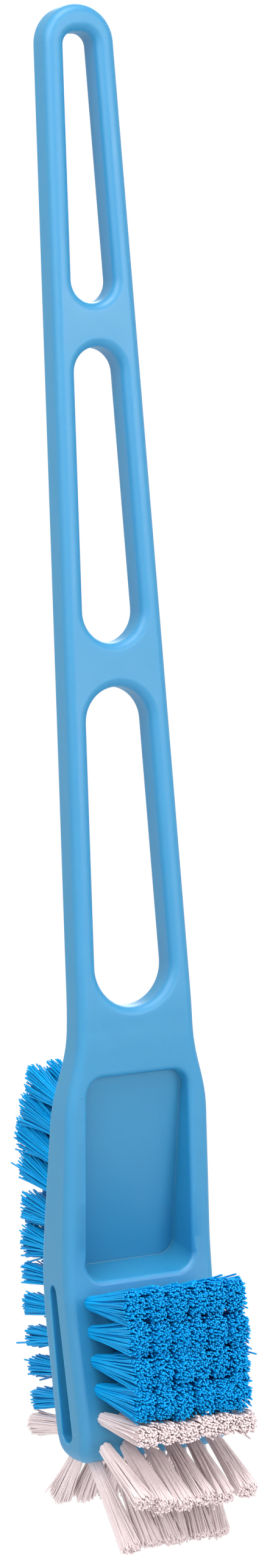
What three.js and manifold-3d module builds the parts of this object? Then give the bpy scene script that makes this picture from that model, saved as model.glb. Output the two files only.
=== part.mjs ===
// Toilet brush: a flat moulded handle with three long slots, a paddle head with a pocket in its
// front, and rows of bristle tufts on the front, the back and the rounded end of the head.
// Millimetres, +Z up, the front faces -Y. Depths run down from the top of the handle.
import * as THREE from 'three';
import { mergeGeometries, mergeVertices } from 'three/addons/utils/BufferGeometryUtils.js';
import Module from 'manifold-3d';

const wasm = await Module();
wasm.setup();

// Handle
const archBelowTop = 7.4; // the origin is the apex of the hanging slot's arch
const handleThickness = 10;
const handleTopWidth = 20.2;
const neckWidth = 35.5;
const neckDepth = 284;
const railWidth = 5.8;
const handleEdgeRound = 1.8;
const hookSeatWidth = 2; // flat crown of the hanging slot
const slotDepths = [[archBelowTop, 79.7], [91.5, 171.1], [183, 269.8]];

// Head: it leans back from the neck, then bends forward to a rounded end
const headTopDepth = 272.3;
const flareTopDepth = 277;
const flareDepth = 300;
const headTopWidth = 43; // where the flare ends
const headWidth = 45.2; // from the bend down
const headEdgeRound = 1.9;
const endCornerRound = 5;
const leanDepth = 274;
const leanRun = 8; // half the depth over which the lean sets in
const leanSlope = 0.165;
const bendDepth = 345;
const bendRun = 14;
const forwardSlope = 0.122;
const thickerFrom = 275;
const bendThickness = 17;
const endRadius = 9.4;
const endStartDepth = 384.5;
const neckSunk = 0.3; // the head's skin starts this far inside the handle's
const neckProud = 0.25; // and comes out this far past it
const neckRise = 5;
const plateFootDepth = 280; // the handle's plate ends here, inside the head

// Pocket in the upper half of the head's front
const pocketTopDepth = 288.2;
const pocketBottomDepth = 344.3;
const pocketTopWidth = 30.4;
const pocketBottomWidth = 32.4;
const pocketCorner = 5;
const pocketTopFloor = 0.6; // the floor's Y under the top wall
const pocketBottomFloor = 14.4; // the floor's Y above the bottom wall
const pocketBottomSlope = 2.4; // how far the bottom wall leans inwards
const pocketDraft = 0.35; // how far the other walls lean inwards
const pocketFillet = 1; // at the foot of the walls
const pocketLip = 1.6; // radius of the rim

// Narrow moulded relief in each side of the lower head, wider at its foot
const reliefDeep = 12;
const reliefTop = { y: 11.8, depth: 345.4, width: 4.4 };
const reliefBottom = { y: 7.7, depth: 388.2, width: 7 };

// Bed of bristle backing, let into the head with a fitting gap
const fitGap = 0.3;
const bedHalfWidth = 19.2;
const bedThickness = 4.4;
const backBedThickness = 2.3;
const frontBedTop = 346.6;
const backBedTop = 292.3;
const backSplit = 341.6; // between the upper and lower back pieces
const frontWhiteDepth = 377.2; // the white piece starts here in front
const backWhiteDepth = 382.4; // and here behind, and goes round the end
const bedMiddleY = 9; // the front and lower back beds lie on either side of this
const bedStep = 6;
const beyondHead = 40; // cutters reach this far past the head

// Tufts
const columns = 6;
const columnPitch = 6.4;
const firstFrontRow = 349.9;
const frontPitch = 7.8;
const blueFrontRows = 4;
const frontRows = 5;
const frontRise = [4, -3.5]; // degrees above level, first row to last
const frontTrim = [-26, -27.5]; // Y of the cut tips, first row to last
const frontGather = 0.09; // the front rows draw in by this share towards their tips
const firstBackRow = 296.5;
const backPitch = 8.22;
const upperBackRows = 6;
const backRows = 11;
const raisedRows = 4; // the first back rows stand up from the rest
const raisedRise = [17, 14];
const otherRise = [4, -7];
const backTrim = 39.5;
const topTrim = 30; // the top row of the back is cut shorter
const trimmedRows = 2;
// End rows: where each stands on the round end, and how it points, in degrees from straight down.
// A gathered row draws in by this share towards its tips.
const endRows = [
  { at: -62, points: -60, length: 25.5, gather: 0 },
  { at: -10, points: -33, length: 26.3, gather: 0.19 },
  { at: 42, points: 42, length: 22, gather: 0 },
  { at: 80, points: 83, length: 24.5, gather: 0 },
];
const rootSpread = 0.95; // the strands of a tuft stand on a square of twice this
const tipSpreadAcross = 1.35;
const tipSpreadAlong = 1.9;
const strandRootRadius = 0.72;
const strandTipRadius = 0.5;
const strandSunk = 1.2;
const goldenAngle = Math.PI * (3 - Math.sqrt(5)); // each strand is turned by this from the last

// Flat wire anchors that hold the folded tufts
const anchorWidth = 3.4;
const anchorWire = 0.5;
const anchorHeight = 1.7;
const pocketOpen = 2; // how far an anchor's pocket is cut past the back of the backing

const finishes = {
  moulding: { color: 0x62aede, roughness: 0.42, metalness: 0 },
  blueBristle: { color: 0x0e8fd0, roughness: 0.5, metalness: 0 },
  whiteBristle: { color: 0xded8d8, roughness: 0.5, metalness: 0 },
  anchorWire: { color: 0xb8bcc0, roughness: 0.35, metalness: 1 },
};

const brush = new THREE.Group();

// A depth below the top of the handle as a height in the part's frame.
const heightAt = (depth) => archBelowTop - depth;

const taper = (neckWidth - handleTopWidth) / 2 / neckDepth;
const taperAngle = Math.atan(taper);
const halfWidthAt = (depth) => handleTopWidth / 2 + taper * depth;

const blend = (from, to, t) => from + (to - from) * THREE.MathUtils.clamp(t, 0, 1);

function solidOf(geometry) {
  const bare = geometry.clone();
  for (const name of Object.keys(bare.attributes)) {
    if (name !== 'position') bare.deleteAttribute(name);
  }
  const merged = mergeVertices(bare, 1e-4);
  return new wasm.Manifold(new wasm.Mesh({
    numProp: 3,
    vertProperties: new Float32Array(merged.attributes.position.array),
    triVerts: new Uint32Array(merged.index.array),
  }));
}

function geometryOf(solid) {
  const mesh = solid.getMesh();
  const geometry = new THREE.BufferGeometry();
  geometry.setAttribute('position', new THREE.BufferAttribute(mesh.vertProperties, 3));
  geometry.setIndex(new THREE.BufferAttribute(mesh.triVerts, 1));
  geometry.computeVertexNormals();
  return geometry;
}

function addPart(name, geometry, finish) {
  const mesh = new THREE.Mesh(geometry, new THREE.MeshStandardMaterial(finish));
  mesh.name = name;
  brush.add(mesh);
  return mesh;
}

// A closed skin over rings of points, each ring the same length, with flat ends.
function loft(rings) {
  const around = rings[0].length;
  const positions = rings.flat().flatMap((point) => [point.x, point.y, point.z]);
  const index = [];
  for (let ring = 0; ring < rings.length - 1; ring += 1) {
    for (let step = 0; step < around; step += 1) {
      const here = ring * around + step;
      const next = ring * around + ((step + 1) % around);
      index.push(here, next, here + around, next, next + around, here + around);
    }
  }
  const last = (rings.length - 1) * around;
  for (let step = 1; step < around - 1; step += 1) {
    index.push(0, step + 1, step, last, last + step, last + step + 1);
  }
  const geometry = new THREE.BufferGeometry();
  geometry.setAttribute('position', new THREE.Float32BufferAttribute(positions, 3));
  geometry.setIndex(index);
  return geometry;
}

// Points round a rectangle with round corners, anticlockwise, as [across, up] pairs.
function roundRectangle(left, right, low, high, radius, steps) {
  const round = Math.min(radius, (right - left) / 2 - 0.01, (high - low) / 2 - 0.01);
  const corners = [
    [right - round, low + round, -90],
    [right - round, high - round, 0],
    [left + round, high - round, 90],
    [left + round, low + round, 180],
  ];
  return corners.flatMap(([across, up, start]) => Array.from({ length: steps + 1 }, (_, step) => {
    const angle = THREE.MathUtils.degToRad(start + (90 * step) / steps);
    return [across + round * Math.cos(angle), up + round * Math.sin(angle)];
  }));
}

// A block across the head, placed by the Y and the depth of its middle.
function crossBlock(halfWidth, y, depth, thickness, length) {
  const block = new THREE.BoxGeometry(halfWidth * 2, thickness, length);
  block.translate(0, y, heightAt(depth));
  return solidOf(block);
}

// An outline in the Y-Z plane, carried across the head to both sides of its middle.
function acrossHead(outline, halfWidth) {
  const bar = new THREE.ExtrudeGeometry(outline, {
    depth: halfWidth * 2,
    bevelEnabled: false,
    curveSegments: 8,
  });
  bar.translate(0, 0, -halfWidth);
  bar.rotateX(Math.PI / 2);
  bar.rotateZ(Math.PI / 2);
  return bar;
}

// Side profile of the head: a middle line that eases from one slope to the next, and a thickness.
function eased(depth, corner, run) {
  const into = THREE.MathUtils.clamp(depth - (corner - run), 0, run * 2);
  return into ** 2 / (run * 4) + Math.max(0, depth - (corner + run));
}

function middleAt(depth) {
  return leanSlope * eased(depth, leanDepth, leanRun)
    - (leanSlope + forwardSlope) * eased(depth, bendDepth, bendRun);
}

function thicknessAt(depth) {
  if (depth <= bendDepth) {
    return blend(handleThickness, bendThickness, (depth - thickerFrom) / (bendDepth - thickerFrom));
  }
  return blend(bendThickness, endRadius * 2, (depth - bendDepth) / (endStartDepth - bendDepth));
}

function proudAt(depth) {
  return blend(-neckSunk, neckProud, (depth - headTopDepth) / neckRise);
}

const frontFace = (depth) => middleAt(depth) - thicknessAt(depth) / 2 - proudAt(depth);
const backFace = (depth) => middleAt(depth) + thicknessAt(depth) / 2 + proudAt(depth);
const endMiddleY = middleAt(endStartDepth);
const endOuterRadius = endRadius + neckProud;
const endDepth = endStartDepth + endOuterRadius;

function headHalfWidth(depth) {
  const neck = halfWidthAt(depth) + proudAt(depth);
  const run = THREE.MathUtils.smoothstep(depth, flareTopDepth, flareDepth);
  const into = Math.max(0, depth - (endDepth - endCornerRound));
  const wide = blend(headTopWidth, headWidth, (depth - flareDepth) / (bendDepth - flareDepth));
  return blend(neck, wide / 2, run) - endCornerRound
    + Math.sqrt(Math.max(0, endCornerRound ** 2 - into ** 2));
}

// The handle is a plate with three slots, rounded all round its edges.
function handlePlate() {
  const arcPoint = Math.cos(taperAngle);
  const topRadius = (halfWidthAt(0) * arcPoint) / (1 - taper * arcPoint);
  const shape = new THREE.Shape();
  shape.moveTo(halfWidthAt(plateFootDepth), heightAt(plateFootDepth));
  shape.lineTo(-halfWidthAt(plateFootDepth), heightAt(plateFootDepth));
  shape.absarc(0, heightAt(topRadius), topRadius, Math.PI - taperAngle, taperAngle, true);
  shape.closePath();

  slotDepths.forEach(([top, bottom], order) => {
    const upper = (halfWidthAt(top) * arcPoint - railWidth) / (1 - taper * arcPoint);
    const lower = (halfWidthAt(bottom) * arcPoint - railWidth) / (1 + taper * arcPoint);
    const seat = order === 0 ? hookSeatWidth / 2 : 0;
    const crown = upper - seat;
    const slot = new THREE.Path();
    slot.absarc(0, heightAt(bottom - lower), lower, Math.PI - taperAngle, Math.PI * 2 + taperAngle, false);
    slot.absarc(seat, heightAt(top + crown), crown, taperAngle, Math.PI / 2, false);
    slot.absarc(-seat, heightAt(top + crown), crown, Math.PI / 2, Math.PI - taperAngle, false);
    slot.closePath();
    shape.holes.push(slot);
  });

  const plate = new THREE.ExtrudeGeometry(shape, {
    depth: handleThickness - handleEdgeRound * 2,
    bevelEnabled: true,
    bevelThickness: handleEdgeRound,
    bevelSize: handleEdgeRound,
    bevelOffset: -handleEdgeRound,
    bevelSegments: 3,
    curveSegments: 9,
  });
  plate.rotateX(Math.PI / 2);
  plate.translate(0, handleThickness / 2 - handleEdgeRound, 0);
  const points = plate.attributes.position;
  for (let point = 0; point < points.count; point += 1) {
    points.setY(point, points.getY(point) + middleAt(archBelowTop - points.getZ(point)));
  }
  return solidOf(plate);
}

// The paddle head is lofted from round-cornered sections, down to its rounded end.
function headBlank() {
  const depths = [headTopDepth, headTopDepth + neckRise / 2];
  for (let step = 0; step <= 6; step += 1) depths.push(blend(flareTopDepth + 1, flareDepth, step / 6));
  depths.push((flareDepth + bendDepth - bendRun) / 2);
  for (let step = 0; step <= 6; step += 1) {
    depths.push(blend(bendDepth - bendRun, bendDepth + bendRun, step / 6));
  }
  depths.push((bendDepth + bendRun + endStartDepth) / 2, endStartDepth);
  const sections = depths.map((depth) => [depth, frontFace(depth), backFace(depth)]);
  for (let turn = 12; turn <= 84; turn += 12) {
    const angle = THREE.MathUtils.degToRad(turn);
    const half = endOuterRadius * Math.cos(angle);
    const depth = endStartDepth + endOuterRadius * Math.sin(angle);
    sections.push([depth, endMiddleY - half, endMiddleY + half]);
  }
  const rings = sections.map(([depth, front, back]) => {
    const half = headHalfWidth(depth);
    return roundRectangle(-half, half, front, back, headEdgeRound, 4)
      .map(([x, y]) => new THREE.Vector3(x, y, heightAt(depth)));
  });
  return solidOf(loft(rings.reverse()));
}

// The pocket narrows to a floor that runs deeper towards a sloped bottom wall.
function pocketCutter() {
  const floorEnd = pocketBottomDepth - pocketBottomSlope;
  const floorAt = (depth) => blend(pocketTopFloor, pocketBottomFloor,
    (depth - pocketTopDepth) / (floorEnd - pocketTopDepth));
  const widen = (depth) => blend(pocketTopWidth, pocketBottomWidth,
    (depth - pocketTopDepth) / (pocketBottomDepth - pocketTopDepth)) / pocketBottomWidth;
  const ring = (grow, slopeShare, y) => {
    const half = pocketBottomWidth / 2 + grow;
    const low = heightAt(pocketBottomDepth + grow - pocketBottomSlope * slopeShare);
    const high = heightAt(pocketTopDepth - grow);
    return roundRectangle(-half, half, low, high, pocketCorner + grow, 5).map(([x, z]) => {
      const depth = archBelowTop - z;
      return new THREE.Vector3(x * widen(depth), y(depth), z);
    });
  };
  const rings = [
    ring(-pocketDraft - pocketFillet / 2, 1, floorAt),
    ring(-pocketDraft, 0.9, (depth) => floorAt(depth) - pocketFillet),
  ];
  for (const turn of [0, 30, 60, 85]) {
    const angle = THREE.MathUtils.degToRad(turn);
    const open = pocketLip * (1 - Math.cos(angle));
    const sunk = pocketLip * (1 - Math.sin(angle));
    rings.push(ring(open, 0, (depth) => frontFace(depth) + sunk));
  }
  rings.push(ring(pocketLip, 0, (depth) => frontFace(depth) - pocketLip));
  return solidOf(loft(rings));
}

// A relief is a blind slot with round ends, along the middle of the lower head's side.
function reliefCutter(side) {
  const upper = reliefTop.width / 2;
  const lower = reliefBottom.width / 2;
  const run = reliefBottom.depth - reliefTop.depth;
  const drift = reliefTop.y - reliefBottom.y;
  const length = Math.hypot(run, drift);
  const slot = new THREE.Shape();
  slot.absarc(0, length / 2 - upper, upper, 0, Math.PI, false);
  slot.absarc(0, lower - length / 2, lower, Math.PI, Math.PI * 2, false);
  slot.closePath();
  const cutter = acrossHead(slot, reliefDeep);
  cutter.rotateX(-Math.atan2(drift, run));
  cutter.translate(
    (side * headWidth) / 2,
    (reliefTop.y + reliefBottom.y) / 2,
    heightAt((reliefTop.depth + reliefBottom.depth) / 2),
  );
  return solidOf(cutter);
}

// What is left of the head's side profile under the bristle backing, which is let into the back
// from below the neck, round the end, and into the front below the pocket.
function bedCore(grow) {
  const thick = bedThickness + grow;
  const thin = backBedThickness + grow;
  const core = new THREE.Shape();
  const frontTop = frontBedTop - grow;
  const backTop = backBedTop - grow;
  const backEnd = backWhiteDepth - grow;
  core.moveTo(beyondHead, heightAt(headTopDepth));
  core.lineTo(-beyondHead, heightAt(headTopDepth));
  core.lineTo(-beyondHead, heightAt(frontTop));
  for (let depth = frontTop; depth < endStartDepth - bedStep / 2; depth += bedStep) {
    core.lineTo(frontFace(depth) + thick, heightAt(depth));
  }
  const inner = endOuterRadius - thick;
  core.absarc(endMiddleY, heightAt(endStartDepth), inner, Math.PI, Math.PI * 2, false);
  core.lineTo(backFace(backEnd) - thick, heightAt(backEnd));
  for (let depth = backEnd; depth > backTop + bedStep / 2; depth -= bedStep) {
    core.lineTo(backFace(depth) - thin, heightAt(depth));
  }
  core.lineTo(backFace(backTop) - thin, heightAt(backTop));
  core.lineTo(beyondHead, heightAt(backTop));
  core.closePath();
  return solidOf(acrossHead(core, headWidth));
}

function bedBlock(grow) {
  const below = endDepth + beyondHead;
  const length = below - headTopDepth;
  const middle = (headTopDepth + below) / 2;
  return crossBlock(bedHalfWidth + grow, 0, middle, beyondHead * 2 - 1, length)
    .subtract(bedCore(grow));
}

// A length of the bed, in front of its middle (-1), behind it (1), or both (0).
function bedLength(top, bottom, side) {
  const y = bedMiddleY + side * beyondHead;
  return crossBlock(headWidth, y, (top + bottom) / 2, beyondHead * 2, bottom - top);
}

// Tufts: each has a root on the skin, the way it points, and the way its row runs down the skin.
// Angles are measured from straight down, negative towards the front.
function rowOfTufts(depth, y, degrees, length, gather = 0) {
  const angle = THREE.MathUtils.degToRad(degrees);
  const along = new THREE.Vector3(0, Math.cos(angle), Math.sin(angle));
  return Array.from({ length: columns }, (_, column) => {
    const x = (column - (columns - 1) / 2) * columnPitch;
    const out = new THREE.Vector3((-x * gather) / length, Math.sin(angle), -Math.cos(angle));
    return { root: new THREE.Vector3(x, y, heightAt(depth)), out: out.normalize(), along, length };
  });
}

const reachTo = (trim, y, rise) => Math.abs(trim - y) / Math.cos(THREE.MathUtils.degToRad(rise));

function frontRow(row) {
  const depth = firstFrontRow + row * frontPitch;
  const y = frontFace(depth);
  const rise = blend(...frontRise, row / (frontRows - 1));
  const trim = blend(...frontTrim, row / (frontRows - 1));
  return rowOfTufts(depth, y, -90 - rise, reachTo(trim, y, rise), frontGather);
}

function backRow(row) {
  const depth = firstBackRow + row * backPitch;
  const y = backFace(depth);
  const trim = blend(topTrim, backTrim, row / trimmedRows);
  const rise = row < raisedRows
    ? blend(...raisedRise, row / (raisedRows - 1))
    : blend(...otherRise, (row - raisedRows) / (backRows - raisedRows - 1));
  return rowOfTufts(depth, y, 90 + rise, reachTo(trim, y, rise));
}

function endRow({ at, points, length, gather }) {
  const place = THREE.MathUtils.degToRad(at);
  const y = endMiddleY + endOuterRadius * Math.sin(place);
  return rowOfTufts(endStartDepth + endOuterRadius * Math.cos(place), y, points, length, gather);
}

const rowsOf = (first, last, row) => Array.from({ length: last - first }, (_, i) => row(first + i)).flat();

// Four strands of three sides stand for the filaments of one tuft, spread a little at their tips.
function strandsOf({ root, out, along, length }, order) {
  const strands = [];
  for (const across of [-1, 1]) {
    for (const down of [-1, 1]) {
      const foot = root.clone().addScaledVector(out, -strandSunk);
      foot.addScaledVector(along, down * rootSpread);
      foot.x += across * rootSpread;
      const tip = root.clone().addScaledVector(out, length);
      tip.addScaledVector(along, down * tipSpreadAlong);
      tip.x += across * tipSpreadAcross;
      const reach = tip.clone().sub(foot);
      const strand = new THREE.CylinderGeometry(strandTipRadius, strandRootRadius, reach.length(), 3);
      strand.rotateY((order * 4 + strands.length) * goldenAngle);
      strand.translate(0, reach.length() / 2, 0);
      strand.applyQuaternion(new THREE.Quaternion().setFromUnitVectors(
        new THREE.Vector3(0, 1, 0), reach.normalize()));
      strand.translate(foot.x, foot.y, foot.z);
      strands.push(strand);
    }
  }
  return strands;
}

// An anchor lies across the fold of a tuft, at the bottom of the backing.
function anchorBox({ root, out }, grow, open) {
  const box = new THREE.BoxGeometry(
    anchorWidth + grow * 2, anchorHeight + grow + open, anchorWire + grow * 2);
  const fromSkin = bedThickness - (anchorHeight + grow - open) / 2;
  box.applyQuaternion(new THREE.Quaternion().setFromUnitVectors(new THREE.Vector3(0, 1, 0), out));
  box.translate(
    root.x - out.x * fromSkin, root.y - out.y * fromSkin, root.z - out.z * fromSkin);
  return box;
}

// A slice of the head's skin with its strands, and pockets under it for the anchors.
function bristleBacking(slice, tufts, anchored) {
  const strands = solidOf(mergeGeometries(tufts.flatMap(strandsOf)));
  if (anchored.length === 0) return slice.add(strands);
  const pockets = anchored.map((tuft) => anchorBox(tuft, fitGap, pocketOpen));
  return slice.subtract(solidOf(mergeGeometries(pockets))).add(strands);
}

function addAnchors(row, tufts) {
  tufts.forEach((tuft, order) => {
    const name = `${row}_anchor_${String(order + 1).padStart(2, '0')}`;
    addPart(name, anchorBox(tuft, 0, 0), finishes.anchorWire);
  });
}

const blank = headBlank();
const moulding = handlePlate()
  .add(blank)
  .subtract(pocketCutter())
  .subtract(reliefCutter(-1))
  .subtract(reliefCutter(1))
  .subtract(bedBlock(fitGap));
addPart('handle_moulding', geometryOf(moulding), finishes.moulding);

const frontBlue = rowsOf(0, blueFrontRows, frontRow);
const frontWhite = rowsOf(blueFrontRows, frontRows, frontRow);
const upperBackBlue = rowsOf(0, upperBackRows, backRow);
const lowerBackBlue = rowsOf(upperBackRows, backRows, backRow);
const endWhite = endRows.slice(0, 3).flatMap(endRow);
const backWhite = endRows.slice(3).flatMap(endRow);

const bed = blank.intersect(bedBlock(0));
const below = endDepth + beyondHead;
const frontSlice = bed.intersect(bedLength(backSplit, frontWhiteDepth - fitGap, -1));
const upperBackSlice = bed.intersect(bedLength(headTopDepth, backSplit - fitGap, 0));
const lowerBackSlice = bed.intersect(bedLength(backSplit, backWhiteDepth - fitGap, 1));
const endSlice = bed.intersect(
  bedLength(frontWhiteDepth, below, -1).add(bedLength(backWhiteDepth, below, 1)));

addPart('front_blue_tufts', geometryOf(
  bristleBacking(frontSlice, frontBlue, frontBlue)), finishes.blueBristle);
addPart('upper_back_blue_tufts', geometryOf(
  bristleBacking(upperBackSlice, upperBackBlue, [])), finishes.blueBristle);
addPart('lower_back_blue_tufts', geometryOf(
  bristleBacking(lowerBackSlice, lowerBackBlue, [])), finishes.blueBristle);
addPart('end_white_tufts', geometryOf(bristleBacking(
  endSlice, [...frontWhite, ...endWhite, ...backWhite], [...frontWhite, ...endWhite],
)), finishes.whiteBristle);

addAnchors('front_blue', frontBlue);
addAnchors('front_white', frontWhite);
addAnchors('end_white', endWhite);

export default brush;
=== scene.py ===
import math
import random

import bmesh
import bpy
from mathutils import Matrix, Vector


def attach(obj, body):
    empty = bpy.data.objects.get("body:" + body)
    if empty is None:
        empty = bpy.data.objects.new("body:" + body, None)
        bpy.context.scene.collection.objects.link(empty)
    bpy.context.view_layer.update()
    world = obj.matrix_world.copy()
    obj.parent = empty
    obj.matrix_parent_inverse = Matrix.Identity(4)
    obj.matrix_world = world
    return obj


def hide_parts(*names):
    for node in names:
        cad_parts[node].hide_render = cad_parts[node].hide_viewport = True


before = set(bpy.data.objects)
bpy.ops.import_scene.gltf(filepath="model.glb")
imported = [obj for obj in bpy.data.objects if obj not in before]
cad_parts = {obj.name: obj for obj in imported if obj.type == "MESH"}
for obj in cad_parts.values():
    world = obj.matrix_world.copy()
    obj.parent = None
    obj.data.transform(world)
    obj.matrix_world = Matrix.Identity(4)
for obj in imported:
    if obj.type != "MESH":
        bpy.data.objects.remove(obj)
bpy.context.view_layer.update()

scene = bpy.context.scene
scene.view_settings.view_transform = "Standard"
toMetres = 0.001  # shapes are drawn in millimetres, depths run down from the top of the handle


def clamp(value, low, high):
    return max(low, min(high, value))


def blend(start, end, share):
    return start + (end - start) * clamp(share, 0.0, 1.0)


def linked(name, data):
    made = bpy.data.objects.new(name, data)
    scene.collection.objects.link(made)
    return made


def newPiece(name, mesh, material, slotName, *nodes):
    mesh.name = name
    piece = linked(name, mesh)
    mesh.materials.clear()
    mesh.materials.append(material)
    for polygon in mesh.polygons:
        polygon.use_smooth = True
    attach(piece, "root")
    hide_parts(*nodes)
    return piece


def bakedMesh(made):
    # a mesh of the object with its modifiers applied, or of its curve
    graph = bpy.context.evaluated_depsgraph_get()
    return bpy.data.meshes.new_from_object(made.evaluated_get(graph))


def meshFrom(bm, name):
    mesh = bpy.data.meshes.new(name)
    bm.to_mesh(mesh)
    bm.free()
    return mesh


def dropObject(made):
    bpy.data.objects.remove(made, do_unlink=True)


# Shader groups

def makeGroup(name, inputs, outputs):
    group = bpy.data.node_groups.new(name, "ShaderNodeTree")
    for socketName, kind, value in inputs:
        socket = group.interface.new_socket(socketName, in_out="INPUT", socket_type=kind)
        socket.default_value = value
    for socketName, kind in outputs:
        group.interface.new_socket(socketName, in_out="OUTPUT", socket_type=kind)
    return group, group.nodes.new("NodeGroupInput"), group.nodes.new("NodeGroupOutput")


# colour sockets of a mix node
mixShare, mixFirst, mixSecond, mixResult = 0, 6, 7, 2


def colourMix(nodes):
    mix = nodes.new("ShaderNodeMix")
    mix.data_type = "RGBA"
    return mix


def attributeNode(nodes, name):
    node = nodes.new("ShaderNodeAttribute")
    node.attribute_name = name
    return node


def setRange(node, side, limits):
    node.inputs[side + " Min"].default_value, node.inputs[side + " Max"].default_value = limits


def makeMouldGrain():
    # soft cloudiness and fine spark-eroded grain of moulded plastic
    group, given, result = makeGroup(
        "mouldGrain",
        [("Cloud Scale", "NodeSocketFloat", 40.0), ("Grain Scale", "NodeSocketFloat", 2200.0)],
        [("Cloud", "NodeSocketFloat"), ("Grain", "NodeSocketFloat")])
    nodes, links = group.nodes, group.links
    place = nodes.new("ShaderNodeTexCoord")
    for name, detail in (("Cloud", 3.0), ("Grain", 2.0)):
        noise = nodes.new("ShaderNodeTexNoise")
        noise.inputs["Detail"].default_value = detail
        links.new(place.outputs["Object"], noise.inputs["Vector"])
        links.new(given.outputs[name + " Scale"], noise.inputs["Scale"])
        links.new(noise.outputs["Fac"], result.inputs[name])
    return group


rootFade = (0.2, 1.0)  # shares of a filament over which the root's colour gives way


def makeFilamentTone():
    # per-filament tone and the way along it, both kept on the mesh; the tone mixes a share of filaments
    # towards the pale colour, which is partly their own random tone and partly a painted highlight that
    # stands in for glints on the cut tips
    group, given, result = makeGroup(
        "filamentTone",
        [("Root", "NodeSocketColor", (0, 0, 0, 1)), ("Body", "NodeSocketColor", (0, 0, 0, 1)),
         ("Pale", "NodeSocketColor", (1, 1, 1, 1)), ("Pale Share", "NodeSocketFloat", 0.5)],
        [("Colour", "NodeSocketColor"), ("Tone", "NodeSocketFloat")])
    nodes, links = group.nodes, group.links
    tone, along = attributeNode(nodes, "tone"), attributeNode(nodes, "along")
    rise = nodes.new("ShaderNodeMapRange")
    rise.interpolation_type = "SMOOTHSTEP"
    setRange(rise, "From", rootFade)
    fromRoot, lighter = colourMix(nodes), colourMix(nodes)
    share = nodes.new("ShaderNodeMath")
    share.operation = "MULTIPLY"
    links.new(along.outputs["Fac"], rise.inputs["Value"])
    links.new(rise.outputs["Result"], fromRoot.inputs[mixShare])
    links.new(given.outputs["Root"], fromRoot.inputs[mixFirst])
    links.new(given.outputs["Body"], fromRoot.inputs[mixSecond])
    # share of the pale colour: partly a random paler tone, partly a painted highlight standing in for
    # glints on the tips
    links.new(tone.outputs["Fac"], share.inputs[0])
    links.new(given.outputs["Pale Share"], share.inputs[1])
    links.new(share.outputs[0], lighter.inputs[mixShare])
    links.new(fromRoot.outputs[mixResult], lighter.inputs[mixFirst])
    links.new(given.outputs["Pale"], lighter.inputs[mixSecond])
    links.new(lighter.outputs[mixResult], result.inputs["Colour"])
    links.new(tone.outputs["Fac"], result.inputs["Tone"])
    return group


mouldGrain = makeMouldGrain()
filamentTone = makeFilamentTone()


def newMaterial(name):
    material = bpy.data.materials.new(name)
    material.use_nodes = True
    nodes = material.node_tree.nodes
    return material, nodes, material.node_tree.links, nodes["Principled BSDF"]


def placeGroup(nodes, group, **values):
    placed = nodes.new("ShaderNodeGroup")
    placed.node_tree = group
    for name, value in values.items():
        placed.inputs[name.replace("_", " ")].default_value = value
    return placed


plasticLook = {
    "deep": (0.012, 0.242, 0.450),
    "light": (0.022, 0.264, 0.482),
    "cloudScale": 34.0, "grainScale": 2600.0,
    "roughness": (0.44, 0.54), "cloudRange": (0.3, 0.7),
    "bump": 0.05, "bumpHeight": 0.0002,
    "ior": 1.5, "specular": 0.85,
    "soft": 0.7, "softReach": (0.10, 0.60, 1.00), "softScale": 0.006,
}


def makePlastic(look):
    material, nodes, links, shader = newMaterial("handlePlastic")
    grain = placeGroup(nodes, mouldGrain, Cloud_Scale=look["cloudScale"], Grain_Scale=look["grainScale"])
    tint = colourMix(nodes)
    tint.inputs[mixFirst].default_value = (*look["deep"], 1)
    tint.inputs[mixSecond].default_value = (*look["light"], 1)
    rough = nodes.new("ShaderNodeMapRange")
    setRange(rough, "From", look["cloudRange"])
    setRange(rough, "To", look["roughness"])
    bump = nodes.new("ShaderNodeBump")
    bump.inputs["Strength"].default_value = look["bump"]
    bump.inputs["Distance"].default_value = look["bumpHeight"]
    links.new(grain.outputs["Cloud"], tint.inputs[mixShare])
    links.new(tint.outputs[mixResult], shader.inputs["Base Color"])
    links.new(grain.outputs["Cloud"], rough.inputs["Value"])
    links.new(rough.outputs["Result"], shader.inputs["Roughness"])
    links.new(grain.outputs["Grain"], bump.inputs["Height"])
    links.new(bump.outputs["Normal"], shader.inputs["Normal"])
    shader.inputs["IOR"].default_value = look["ior"]
    shader.inputs["Specular IOR Level"].default_value = look["specular"]
    shader.inputs["Subsurface Weight"].default_value = look["soft"]
    shader.inputs["Subsurface Radius"].default_value = look["softReach"]
    shader.inputs["Subsurface Scale"].default_value = look["softScale"]
    return material


# the pale blue is partly the filaments' own random tone and partly a painted highlight: pale filaments
# stand in for glints on the cut tips
blueLook = {"Root": (0.001, 0.392, 0.815, 1), "Body": (0.001, 0.318, 0.705, 1),
            "Pale": (0.020, 0.530, 0.930, 1), "Pale_Share": 0.28}
whiteLook = {"Root": (0.845, 0.715, 0.721, 1), "Body": (0.795, 0.672, 0.676, 1),
             "Pale": (0.900, 0.800, 0.806, 1), "Pale_Share": 0.55}
filamentFinish = {"roughness": (0.40, 0.56), "ior": 1.5, "specular": 0.12}


def makeFilament(name, look):
    material, nodes, links, shader = newMaterial(name)
    tone = placeGroup(nodes, filamentTone, **look)
    rough = nodes.new("ShaderNodeMapRange")
    setRange(rough, "To", filamentFinish["roughness"])
    links.new(tone.outputs["Colour"], shader.inputs["Base Color"])
    links.new(tone.outputs["Tone"], rough.inputs["Value"])
    links.new(rough.outputs["Result"], shader.inputs["Roughness"])
    shader.inputs["IOR"].default_value = filamentFinish["ior"]
    shader.inputs["Specular IOR Level"].default_value = filamentFinish["specular"]
    return material


anchorLook = {"base": (0.56, 0.57, 0.59), "worn": (0.70, 0.71, 0.72), "roughness": (0.24, 0.42),
              "cloudScale": 420.0, "grainScale": 5200.0}


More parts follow.
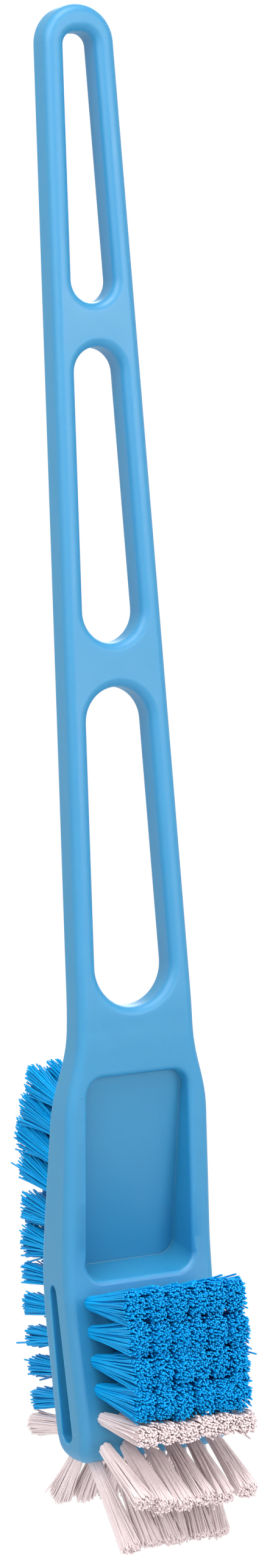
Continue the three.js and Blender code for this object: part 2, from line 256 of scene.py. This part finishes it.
def makeAnchorSteel(look):
    material, nodes, links, shader = newMaterial("anchorSteel")
    grain = placeGroup(nodes, mouldGrain, Cloud_Scale=look["cloudScale"], Grain_Scale=look["grainScale"])
    tint = colourMix(nodes)
    tint.inputs[mixFirst].default_value = (*look["base"], 1)
    tint.inputs[mixSecond].default_value = (*look["worn"], 1)
    rough = nodes.new("ShaderNodeMapRange")
    setRange(rough, "To", look["roughness"])
    links.new(grain.outputs["Cloud"], tint.inputs[mixShare])
    links.new(tint.outputs[mixResult], shader.inputs["Base Color"])
    links.new(grain.outputs["Grain"], rough.inputs["Value"])
    links.new(rough.outputs["Result"], shader.inputs["Roughness"])
    shader.inputs["Metallic"].default_value = 1.0
    return material


handlePlastic = makePlastic(plasticLook)
blueFilament = makeFilament("blueFilament", blueLook)
whiteFilament = makeFilament("whiteFilament", whiteLook)
anchorSteel = makeAnchorSteel(anchorLook)
print("materials ready")


# Moulding: an outline with three slots, cut into thin lengths and bent to the head's side profile

handle = {
    "archBelowTop": 7.4, "thickness": 10.0, "topWidth": 20.2, "neckWidth": 35.5, "neckDepth": 284.0,
    "rail": 5.8, "edgeRound": 2.6, "hookSeat": 2.0, "outlineSteps": 14, "edgeSteps": 8,
    "seamWithin": 0.001, "mergeWithin": 0.04,
    "slots": ((7.4, 79.7), (91.5, 171.1), (183.0, 269.8)),
}
head = {
    "topWidth": 43.0, "width": 45.2, "flareTop": 276.0, "flareEnd": 300.5, "flarePull": 10.0,
    "cornerRound": 5.0,
    "lean": 274.0, "leanRun": 8.0, "leanSlope": 0.165,
    "bend": 345.0, "bendRun": 14.0, "forwardSlope": 0.122,
    "flatFrom": 268.0, "flatTo": 300.0, "flatShare": 0.64,
    "thickerFrom": 275.0, "bendThickness": 17.5, "endRadius": 9.65, "endStart": 384.5,
}
headEnd = head["endStart"] + head["endRadius"]
taper = (handle["neckWidth"] - handle["topWidth"]) / 2 / handle["neckDepth"]
taperAngle = math.atan(taper)


def heightAt(depth):
    return handle["archBelowTop"] - depth


def halfWidthAt(depth):
    return handle["topWidth"] / 2 + taper * depth


def eased(depth, corner, run):
    into = clamp(depth - (corner - run), 0.0, run * 2)
    return into ** 2 / (run * 4) + max(0.0, depth - (corner + run))


def middleAt(depth):
    return (head["leanSlope"] * eased(depth, head["lean"], head["leanRun"])
            - (head["leanSlope"] + head["forwardSlope"]) * eased(depth, head["bend"], head["bendRun"]))


def halfThickAt(depth):
    if depth > head["endStart"]:
        return math.sqrt(max(0.0, head["endRadius"] ** 2 - (depth - head["endStart"]) ** 2))
    if depth > head["bend"]:
        run = head["endStart"] - head["bend"]
        return blend(head["bendThickness"] / 2, head["endRadius"], (depth - head["bend"]) / run)
    run = head["bend"] - head["thickerFrom"]
    return blend(handle["thickness"], head["bendThickness"], (depth - head["thickerFrom"]) / run) / 2


def frontFace(depth):
    return middleAt(depth) - halfThickAt(depth)


def backFace(depth):
    return middleAt(depth) + halfThickAt(depth)


endMiddleY = middleAt(head["endStart"])


def arcKnots(centreX, centreUp, radius, start, stop):
    # Bezier knots along an arc: place, handle in, handle out
    pieces = max(1, math.ceil(abs(stop - start) / (math.pi / 2) - 1e-6))
    step = (stop - start) / pieces
    reach = 4 / 3 * math.tan(step / 4) * radius
    knots = []
    for index in range(pieces + 1):
        angle = start + step * index
        place = Vector((centreX + radius * math.cos(angle), centreUp + radius * math.sin(angle)))
        along = Vector((-math.sin(angle), math.cos(angle))) * reach
        knots.append([place, place - along if index else place, place + along if index < pieces else place])
    return knots


def addOutline(curve, knots):
    spline = curve.splines.new("BEZIER")
    spline.bezier_points.add(len(knots) - 1)
    spline.use_cyclic_u = True
    for point, (place, before, after) in zip(spline.bezier_points, knots):
        point.handle_left_type = point.handle_right_type = "FREE"
        point.co = (*place, 0)
        point.handle_left = (*before, 0)
        point.handle_right = (*after, 0)


def outerKnots():
    cosine = math.cos(taperAngle)
    radius = halfWidthAt(0) * cosine / (1 - taper * cosine)
    knots = arcKnots(0, heightAt(radius), radius, taperAngle, math.pi - taperAngle)
    halfHead, corner = head["width"] / 2, head["cornerRound"]
    down = Vector((-taper, -1)).normalized() * head["flarePull"]
    flareStart = Vector((-halfWidthAt(head["flareTop"]), heightAt(head["flareTop"])))
    flareEnd = Vector((-head["topWidth"] / 2, heightAt(head["flareEnd"])))
    widest = Vector((-halfHead, heightAt(head["bend"])))
    slope = (widest - flareEnd).normalized() * head["flarePull"]
    left = [
        [flareStart, flareStart, flareStart + down],
        [flareEnd, flareEnd - slope, flareEnd + slope],
        [widest, widest + Vector((0, head["flarePull"])), widest],
    ]
    low = heightAt(headEnd)
    corners = (arcKnots(-halfHead + corner, low + corner, corner, math.pi, math.pi * 1.5)
               + arcKnots(halfHead - corner, low + corner, corner, math.pi * 1.5, math.pi * 2))
    flip = Vector((-1, 1))
    right = [[place * flip, after * flip, before * flip] for place, before, after in reversed(left)]
    return knots + left + corners + right


def slotKnots(top, bottom, seat):
    cosine = math.cos(taperAngle)
    upper = (halfWidthAt(top) * cosine - handle["rail"]) / (1 - taper * cosine)
    lower = (halfWidthAt(bottom) * cosine - handle["rail"]) / (1 + taper * cosine)
    crown = upper - seat
    knots = arcKnots(seat, heightAt(top + crown), crown, math.pi / 2, taperAngle)
    knots += arcKnots(0, heightAt(bottom - lower), lower, taperAngle, -math.pi - taperAngle)
    return knots + arcKnots(-seat, heightAt(top + crown), crown, math.pi - taperAngle, math.pi / 2)


def makeSlab():
    curve = bpy.data.curves.new("mouldingOutline", "CURVE")
    curve.dimensions = "2D"
    curve.fill_mode = "BOTH"
    curve.resolution_u = handle["outlineSteps"]
    curve.extrude = handle["thickness"] / 2 - handle["edgeRound"]
    curve.bevel_depth = handle["edgeRound"]
    curve.bevel_resolution = handle["edgeSteps"]
    curve.offset = -handle["edgeRound"]
    addOutline(curve, outerKnots())
    for order, (top, bottom) in enumerate(handle["slots"]):
        addOutline(curve, slotKnots(top, bottom, handle["hookSeat"] / 2 if order == 0 else 0.0))
    drawn = linked("mouldingOutline", curve)
    bm = bmesh.new()
    bm.from_mesh(bakedMesh(drawn))
    dropObject(drawn)
    bmesh.ops.remove_doubles(bm, verts=bm.verts, dist=handle["seamWithin"])
    bmesh.ops.rotate(bm, verts=bm.verts, cent=(0, 0, 0), matrix=Matrix.Rotation(math.pi / 2, 3, "X"))
    return bm


# (from, to, step) of the depths at which the head is cut across, closest where it curves
headCuts = ((265, 301, 2.0), (301, 328, 4.5), (328, 360, 2.0), (360, 384, 4.0), (384, 393, 1.0))
cutWithin = 1e-5


def bendHead(bm):
    for start, stop, step in headCuts:
        depth = start
        while depth < stop:
            bmesh.ops.bisect_plane(bm, geom=bm.verts[:] + bm.edges[:] + bm.faces[:], dist=cutWithin,
                                   plane_co=(0, 0, heightAt(depth)), plane_no=(0, 0, 1))
            depth += step
    half = handle["thickness"] / 2
    handleFlat = 1 - handle["edgeRound"] / half
    flatRun = head["flatTo"] - head["flatFrom"]
    for vert in bm.verts:
        # the head has flatter sides than the handle, so its rounded edges take a smaller share
        depth = heightAt(vert.co.z)
        share = abs(vert.co.y) / half
        flat = blend(handleFlat, head["flatShare"], (depth - head["flatFrom"]) / flatRun)
        if share < handleFlat:
            share *= flat / handleFlat
        else:
            share = blend(flat, 1.0, (share - handleFlat) / (1 - handleFlat))
        vert.co.y = middleAt(depth) + math.copysign(share, vert.co.y) * halfThickAt(depth)


pocket = {
    "top": 288.2, "bottom": 344.3, "topWidth": 30.4, "bottomWidth": 32.4, "corner": 5.0,
    "topFloor": 0.6, "bottomFloor": 14.4, "bottomSlope": 2.4, "draft": 0.35, "fillet": 0.3, "lip": 1.6,
    "clear": 2.0, "footTurns": range(0, 91, 15), "rimTurns": range(0, 90, 14),
}


def ringLoop(bm, radius, reachAcross, reachUp, centre, steps=10):
    # a circle pulled apart into a rectangle with round corners, standing in the X-Z plane
    matrix = Matrix.Translation(centre) @ Matrix.Rotation(math.pi / 2, 4, "X")
    matrix = matrix @ Matrix.Rotation(math.pi / 4 / steps, 4, "Z")
    made = bmesh.ops.create_circle(bm, segments=steps * 4, radius=radius, matrix=matrix)["verts"]
    for vert in made:
        vert.co.x += math.copysign(reachAcross - radius, vert.co.x - centre[0])
        vert.co.z += math.copysign(reachUp - radius, vert.co.z - centre[2])
    return made


def bridgeRings(bm, rings):
    loops = [{edge for vert in ring for edge in vert.link_edges} for ring in rings]
    for first, second in zip(loops, loops[1:]):
        bmesh.ops.bridge_loops(bm, edges=list(first | second))
    for ring in (rings[0], rings[-1]):
        bmesh.ops.contextual_create(bm, geom=ring)
    bmesh.ops.recalc_face_normals(bm, faces=bm.faces)


def makePocketCutter():
    bm = bmesh.new()
    floorEnd = pocket["bottom"] - pocket["bottomSlope"]

    def floorAt(depth):
        return blend(pocket["topFloor"], pocket["bottomFloor"],
                     (depth - pocket["top"]) / (floorEnd - pocket["top"]))

    def ring(grow, slopeShare, sunkFrom, sunk):
        low = pocket["bottom"] + grow - pocket["bottomSlope"] * slopeShare
        high = pocket["top"] - grow
        half = pocket["bottomWidth"] / 2 + grow
        centre = (0, 0, heightAt((low + high) / 2))
        made = ringLoop(bm, pocket["corner"] + grow, half, (low - high) / 2, centre)
        for vert in made:
            depth = heightAt(vert.co.z)
            share = (depth - pocket["top"]) / (pocket["bottom"] - pocket["top"])
            vert.co.x *= blend(pocket["topWidth"], pocket["bottomWidth"], share) / pocket["bottomWidth"]
            vert.co.y = sunkFrom(depth) + sunk
        return made

    rings = []
    for turn in pocket["footTurns"]:  # round the foot of the walls
        angle = math.radians(turn)
        inset = pocket["draft"] + pocket["fillet"] * (1 - math.sin(angle))
        rings.append(ring(-inset, 1.0, floorAt, -pocket["fillet"] * (1 - math.cos(angle))))
    for turn in pocket["rimTurns"]:  # over the rim
        angle = math.radians(turn)
        opened = pocket["lip"] * (1 - math.cos(angle))
        rings.append(ring(opened, 0.0, frontFace, pocket["lip"] * (1 - math.sin(angle))))
    rings.append(ring(pocket["lip"], 0.0, frontFace, -pocket["clear"]))
    bridgeRings(bm, rings)
    return meshFrom(bm, "pocketCutter")


relief = {
    "topWidth": 4.0, "bottomWidth": 6.6, "deep": 12.0, "rim": 0.35, "wall": 0.9, "hollow": 0.2,
    "top": (11.8, 345.4), "bottom": (7.7, 388.4),  # Y and depth
    "floorRound": 0.25, "wallRun": 0.5, "clear": 1.0, "rimTurns": range(0, 90, 15),
    "cornerSteps": 8, "straight": 0.001,
}


def makeReliefCutter(side):
    bm = bmesh.new()
    drift, run = relief["top"][0] - relief["bottom"][0], relief["bottom"][1] - relief["top"][1]
    halfLength = math.hypot(drift, run) / 2
    width = (relief["topWidth"] + relief["bottomWidth"]) / 2
    # hollow behind a thin wall, whose edge is rounded
    steps = [(-relief["deep"], relief["hollow"] - relief["floorRound"]),
             (-relief["deep"] + relief["floorRound"], relief["hollow"]),
             (-relief["wall"] - relief["wallRun"], relief["hollow"]), (-relief["wall"], 0.0)]
    for turn in relief["rimTurns"]:
        angle = math.radians(turn)
        steps.append((-relief["rim"] * (1 - math.sin(angle)), relief["rim"] * (1 - math.cos(angle))))
    steps.append((relief["clear"], relief["rim"]))
    rings = []
    for sunk, grow in steps:
        radius = width / 2 + grow
        made = ringLoop(bm, radius, radius + relief["straight"], halfLength + grow, (0, 0, 0),
                        relief["cornerSteps"])
        for vert in made:
            share = 0.5 - vert.co.z / (2 * halfLength)
            wanted = blend(relief["topWidth"], relief["bottomWidth"], share) / 2 + grow
            vert.co.x *= wanted / radius
            vert.co.y = sunk
        rings.append(made)
    bridgeRings(bm, rings)
    middle = ((relief["top"][0] + relief["bottom"][0]) / 2, (relief["top"][1] + relief["bottom"][1]) / 2)
    place = Matrix.Translation((side * head["width"] / 2, middle[0], heightAt(middle[1])))
    lean = Matrix.Rotation(-math.atan2(drift, run), 4, "X")
    quarter = Matrix.Rotation(math.radians(-90 * side), 4, "Z")
    bmesh.ops.transform(bm, matrix=place @ lean @ quarter, verts=bm.verts)
    return meshFrom(bm, "reliefCutter")


def makeMoulding():
    bm = makeSlab()
    bendHead(bm)
    bmesh.ops.recalc_face_normals(bm, faces=bm.faces)
    solid = linked("mouldingBlank", meshFrom(bm, "mouldingBlank"))
    tools = (makePocketCutter(), makeReliefCutter(-1), makeReliefCutter(1))
    cutters = [linked("cutter", tool) for tool in tools]
    for cutter in cutters:
        cut = solid.modifiers.new("cut", "BOOLEAN")
        cut.operation = "DIFFERENCE"
        cut.solver = "EXACT"
        cut.object = cutter
    mesh = bakedMesh(solid)
    for spare in cutters + [solid]:
        dropObject(spare)
    bm = bmesh.new()
    bm.from_mesh(mesh)
    bmesh.ops.remove_doubles(bm, verts=bm.verts, dist=handle["mergeWithin"])
    bmesh.ops.dissolve_degenerate(bm, edges=bm.edges, dist=handle["mergeWithin"])
    bmesh.ops.holes_fill(bm, edges=bm.edges, sides=0)  # hairline slits where slivers were
    bmesh.ops.scale(bm, vec=(toMetres,) * 3, verts=bm.verts)
    bm.to_mesh(mesh)
    bm.free()
    piece = newPiece("handleMoulding", mesh, handlePlastic, "handle_plastic", "handle_moulding")
    even = piece.modifiers.new("evenShading", "WEIGHTED_NORMAL")
    even.mode = "FACE_AREA"
    even.weight = 50
    even.keep_sharp = True
    return piece


moulding = makeMoulding()
print("moulding", len(moulding.data.polygons), "faces")


# Tufts: round bundles of filaments that fan out to their cut tips

bristle = {
    "blueRadius": 0.262, "whiteRadius": 0.29, "slim": 0.97, "sunk": 1.0, "knots": 5,
    "hole": 1.65, "loose": 0.24, "uneven": 0.4, "square": 0.6,
    "wild": 0.07, "wildTimes": 5.0, "jitter": 0.3, "bow": 0.18, "curl": 1.25,
    "tuftTone": 0.15, "toneShape": (1.6, 2.4),
    "columns": 6, "columnPitch": 6.4,
}
frontBed = {"first": 349.9, "rowPitch": 7.8, "rows": 5, "blueRows": 4, "rise": (4.0, -3.5),
            "trim": (-26.0, -27.5), "gather": 0.09}
backBed = {"first": 296.5, "rowPitch": 8.22, "upper": 6, "rows": 11,
           "raisedRows": 4, "raisedRise": (17.0, 14.0), "otherRise": (4.0, -7.0),
           "trim": 39.5, "topTrim": 30.0, "trimmed": 2}
endBed = (
    {"at": -62.0, "aims": -60.0, "length": 25.5, "gather": 0.0},
    {"at": -10.0, "aims": -33.0, "length": 26.3, "gather": 0.19},
    {"at": 42.0, "aims": 42.0, "length": 22.0, "gather": 0.0},
    {"at": 80.0, "aims": 83.0, "length": 24.5, "gather": 0.0},
)


def rowOfTufts(depth, y, degrees, length, gather=0.0):
    # angles run from straight down, negative towards the front; gathered rows draw in at their tips
    angle = math.radians(degrees)
    along = Vector((0, math.cos(angle), math.sin(angle)))
    middle = (bristle["columns"] - 1) / 2
    tufts = []
    for column in range(bristle["columns"]):
        x = (column - middle) * bristle["columnPitch"]
        out = Vector((-x * gather / length, math.sin(angle), -math.cos(angle)))
        tufts.append((Vector((x, y, heightAt(depth))), out, along, length))
    return tufts


def frontRow(row):
    depth = frontBed["first"] + row * frontBed["rowPitch"]
    share = row / (frontBed["rows"] - 1)
    rise = blend(*frontBed["rise"], share)
    y = frontFace(depth)
    length = (y - blend(*frontBed["trim"], share)) / math.cos(math.radians(rise))
    return rowOfTufts(depth, y, -90 - rise, length, frontBed["gather"])


def backRow(row):
    depth = backBed["first"] + row * backBed["rowPitch"]
    if row < backBed["raisedRows"]:
        rise = blend(*backBed["raisedRise"], row / (backBed["raisedRows"] - 1))
    else:
        share = (row - backBed["raisedRows"]) / (backBed["rows"] - backBed["raisedRows"] - 1)
        rise = blend(*backBed["otherRise"], share)
    y = backFace(depth)
    trim = blend(backBed["topTrim"], backBed["trim"], row / backBed["trimmed"])
    return rowOfTufts(depth, y, 90 + rise, (trim - y) / math.cos(math.radians(rise)))


def endRow(row):
    at = math.radians(endBed[row]["at"])
    y = endMiddleY + head["endRadius"] * math.sin(at)
    depth = head["endStart"] + head["endRadius"] * math.cos(at)
    return rowOfTufts(depth, y, endBed[row]["aims"], endBed[row]["length"], endBed[row]["gather"])


def tuftPaths(tuft, spread, count, chance):
    # a tuft leans by its sway and fans out across and along the head; its cut is domed
    root, out, along, length = tuft
    fan, sway, dome = spread["fan"], spread["sway"], spread["dome"]
    across = Vector((1, 0, 0))
    lean = Vector((chance.gauss(0, sway), chance.gauss(0, sway)))
    paths = []
    for index in range(count):
        # an even spiral over the hole, a little disturbed
        reach = math.sqrt((index + 0.5) / count)
        turn = index * math.pi * (3 - math.sqrt(5)) + chance.uniform(-bristle["jitter"], bristle["jitter"])
        spot = Vector((math.cos(turn), math.sin(turn))) * reach
        foot = spot * bristle["hole"]
        square = max(abs(spot.x), abs(spot.y)) / reach
        tip = Vector((spot.x * fan[0], spot.y * fan[1])) / square ** bristle["square"] + lean
        stray = bristle["wildTimes"] if chance.random() < bristle["wild"] else 1.0
        tip += Vector((chance.gauss(0, bristle["loose"]), chance.gauss(0, bristle["loose"]))) * stray
        bow = Vector((chance.gauss(0, bristle["bow"]), chance.gauss(0, bristle["bow"])))
        full = length + chance.gauss(0, bristle["uneven"]) - dome * reach ** 3
        path = []
        for step in range(bristle["knots"]):
            share = step / (bristle["knots"] - 1)
            aside = foot.lerp(tip, share ** bristle["curl"]) + bow * math.sin(math.pi * share)
            reachOut = -bristle["sunk"] + (full + bristle["sunk"]) * share
            path.append(root + out * reachOut + across * aside.x + along * aside.y)
        paths.append(path)
    return paths


def makeTufts(name, tufts, bundle, radius, material, slotName, node):
    chance = random.Random(bundle["seed"])
    curve = bpy.data.curves.new(name, "CURVE")
    curve.dimensions = "3D"
    curve.bevel_depth = radius * toMetres
    curve.bevel_resolution = 0
    curve.use_fill_caps = True
    last = bristle["knots"] - 1
    slimmed = [blend(1, bristle["slim"], step / last) for step in range(bristle["knots"])]
    tones = []
    for tuft, spread in tufts:
        tuftTone = chance.uniform(-bristle["tuftTone"], bristle["tuftTone"])
        for path in tuftPaths(tuft, spread, bundle["count"], chance):
            spline = curve.splines.new("POLY")
            spline.points.add(last)
            spline.points.foreach_set("co", [c for place in path for c in (*(place * toMetres), 1.0)])
            spline.points.foreach_set("radius", slimmed)
            # a random tone per filament, which picks the paler ones; these also stand in for painted glints
            # on the tips
            tones.append(clamp(chance.betavariate(*bristle["toneShape"]) + tuftTone, 0.0, 1.0))
    drawn = linked(name + "Paths", curve)
    mesh = bakedMesh(drawn)
    dropObject(drawn)
    around = len(mesh.vertices) // len(tones)
    perRing = around // bristle["knots"]
    tone = mesh.attributes.new("tone", "FLOAT", "POINT")
    tone.data.foreach_set("value", [tones[index // around] for index in range(len(mesh.vertices))])
    along = mesh.attributes.new("along", "FLOAT", "POINT")
    along.data.foreach_set("value", [min(1.0, (index % around) // perRing / last)
                                     for index in range(len(mesh.vertices))])
    piece = newPiece(name, mesh, material, slotName, node)
    print(name, len(tones), "filaments", around, "points each", len(mesh.polygons), "faces")
    return piece


def rows(first, last, row, spread):
    return [(tuft, spread) for index in range(first, last) for tuft in row(index)]


blueRows, upperRows = frontBed["blueRows"], backBed["upper"]
fine, stout = bristle["blueRadius"], bristle["whiteRadius"]

frontBlue = {"count": 228, "seed": 11, "fan": (3.1, 4.85), "sway": 0.45, "dome": 2.0}
makeTufts("frontBlueTufts", rows(0, blueRows, frontRow, frontBlue), frontBlue, fine,
          blueFilament, "blue_bristle", "front_blue_tufts")

upperBack = {"count": 150, "seed": 12, "fan": (3.0, 4.9), "sway": 0.3, "dome": 1.6}
makeTufts("upperBackBlueTufts", rows(0, upperRows, backRow, upperBack), upperBack, fine,
          blueFilament, "blue_bristle", "upper_back_blue_tufts")

lowerBack = {"count": 175, "seed": 13, "fan": (3.0, 2.9), "sway": 0.3, "dome": 1.2}
makeTufts("lowerBackBlueTufts", rows(upperRows, backBed["rows"], backRow, lowerBack), lowerBack, fine,
          blueFilament, "blue_bristle", "lower_back_blue_tufts")

# the white rows: last on the front, then those round the end that point forward and back
white = {
    "count": 175, "seed": 14, "forwardRows": 2,
    "front": {"fan": (3.1, 2.8), "sway": 0.3, "dome": 1.4},
    "forward": {"fan": (2.8, 2.3), "sway": 0.65, "dome": 0.6},
    "back": {"fan": (2.6, 3.0), "sway": 0.6, "dome": 0.8},
}
whiteRows = (rows(blueRows, frontBed["rows"], frontRow, white["front"])
             + rows(0, white["forwardRows"], endRow, white["forward"])
             + rows(white["forwardRows"], len(endBed), endRow, white["back"]))
makeTufts("endWhiteTufts", whiteRows, white, stout, whiteFilament, "white_bristle", "end_white_tufts")

for name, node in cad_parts.items():
    if "_anchor_" in name:
        node.data.materials.clear()
        node.data.materials.append(anchorSteel)
print("tufts and anchors ready")


# Stage: pale floor and backdrop, soft light, camera

stage = {"floorDepth": 0.545, "floorSize": 6.0, "paper": (0.86, 0.86, 0.86), "paperRoughness": 0.9,
         "sky": 0.42, "skyColour": (0.96, 0.98, 1.0), "shadowed": (0.22, 0.50), "shadowShare": 0.6}
plainWhite = (1, 1, 1, 1)


def shownWhite(nodes, links):
    # 1 where the camera, a gloss or a glass sees the paper or the sky, which then are plain white
    path = nodes.new("ShaderNodeLightPath")
    share = path.outputs["Is Camera Ray"]
    for ray in ("Is Glossy Ray", "Is Transmission Ray"):
        either = nodes.new("ShaderNodeMath")
        either.operation = "MAXIMUM"
        links.new(share, either.inputs[0])
        links.new(path.outputs[ray], either.inputs[1])
        share = either.outputs[0]
    return share


def makeFloor():
    bm = bmesh.new()
    bmesh.ops.create_grid(bm, x_segments=1, y_segments=1, size=stage["floorSize"] / 2)
    bmesh.ops.translate(bm, vec=(0, 0, -stage["floorDepth"]), verts=bm.verts)
    floor = linked("floor", meshFrom(bm, "floor"))
    material, nodes, links, shader = newMaterial("paper")
    shader.inputs["Base Color"].default_value = (*stage["paper"], 1)
    shader.inputs["Roughness"].default_value = stage["paperRoughness"]
    shown = nodes.new("ShaderNodeEmission")
    shown.inputs["Color"].default_value = plainWhite
    # round the object the paper keeps its shadow, further off it runs out into white
    place = nodes.new("ShaderNodeTexCoord")
    distance = nodes.new("ShaderNodeVectorMath")
    distance.operation = "DISTANCE"
    distance.inputs[1].default_value = (0, 0, -stage["floorDepth"])
    far = nodes.new("ShaderNodeMapRange")
    far.interpolation_type = "SMOOTHSTEP"
    setRange(far, "From", stage["shadowed"])
    far.inputs["To Min"].default_value = 1 - stage["shadowShare"]
    share = nodes.new("ShaderNodeMath")
    share.operation = "MULTIPLY"
    links.new(place.outputs["Object"], distance.inputs[0])
    links.new(distance.outputs["Value"], far.inputs["Value"])
    links.new(far.outputs["Result"], share.inputs[0])
    links.new(shownWhite(nodes, links), share.inputs[1])
    mix = nodes.new("ShaderNodeMixShader")
    links.new(share.outputs[0], mix.inputs[0])
    links.new(shader.outputs[0], mix.inputs[1])
    links.new(shown.outputs[0], mix.inputs[2])
    links.new(mix.outputs[0], nodes["Material Output"].inputs["Surface"])
    floor.data.materials.append(material)


def makeSky():
    world = bpy.data.worlds.new("studio")
    scene.world = world
    world.use_nodes = True
    nodes, links = world.node_tree.nodes, world.node_tree.links
    soft = nodes["Background"]
    soft.inputs["Color"].default_value = (*stage["skyColour"], 1)
    soft.inputs["Strength"].default_value = stage["sky"]
    shown = nodes.new("ShaderNodeBackground")
    shown.inputs["Color"].default_value = plainWhite
    mix = nodes.new("ShaderNodeMixShader")
    links.new(shownWhite(nodes, links), mix.inputs[0])
    links.new(soft.outputs[0], mix.inputs[1])
    links.new(shown.outputs[0], mix.inputs[2])
    links.new(mix.outputs[0], nodes["World Output"].inputs["Surface"])


lamps = {
    "key": {"place": (-1.00, -1.20, 0.60), "aim": (0, 0, -0.20), "size": 0.9, "power": 5.6},
    "front": {"place": (0.52, -1.40, 0.08), "aim": (0, 0, -0.20), "size": 0.6, "power": 8.4},
    "top": {"place": (-0.20, -0.90, 1.90), "aim": (0, 0, -0.25), "size": 1.5, "power": 35.0},
    "side": {"place": (-0.55, -0.25, 0.25), "aim": (0, 0, -0.10), "size": 0.5, "power": 2.3},
    "back": {"place": (0.90, 1.20, 0.45), "aim": (0, 0, -0.20), "size": 1.0, "power": 13.0},
}


def makeLamp(name, lamp):
    data = bpy.data.lights.new(name, "AREA")
    data.shape = "DISK"
    data.size = lamp["size"]
    data.energy = lamp["power"]
    made = linked(name, data)
    made.location = lamp["place"]
    towards = Vector(lamp["aim"]) - Vector(lamp["place"])
    made.rotation_euler = towards.to_track_quat("-Z", "Y").to_euler()


view = {"place": (-0.54412, -1.11678, -0.11863), "forward": (0.44065, 0.89516, -0.06723), "roll": -3.316,
        "lens": 105.55, "sensor": 36.0, "clip": (0.05, 50.0)}


def makeCamera():
    data = bpy.data.cameras.new("camera")
    data.lens = view["lens"]
    data.sensor_width = view["sensor"]
    data.clip_start, data.clip_end = view["clip"]
    camera = linked("camera", data)
    forward = Vector(view["forward"]).normalized()
    right = forward.cross(Vector((0, 0, 1))).normalized()
    up = right.cross(forward)
    roll = math.radians(view["roll"])
    tilted = right * math.cos(roll) + up * math.sin(roll)
    risen = up * math.cos(roll) - right * math.sin(roll)
    turn = Matrix((tilted, risen, -forward)).transposed().to_4x4()
    camera.matrix_world = Matrix.Translation(view["place"]) @ turn
    scene.camera = camera


makeFloor()
makeSky()
for lampName, lampValues in lamps.items():
    makeLamp(lampName, lampValues)
makeCamera()
print("stage ready")
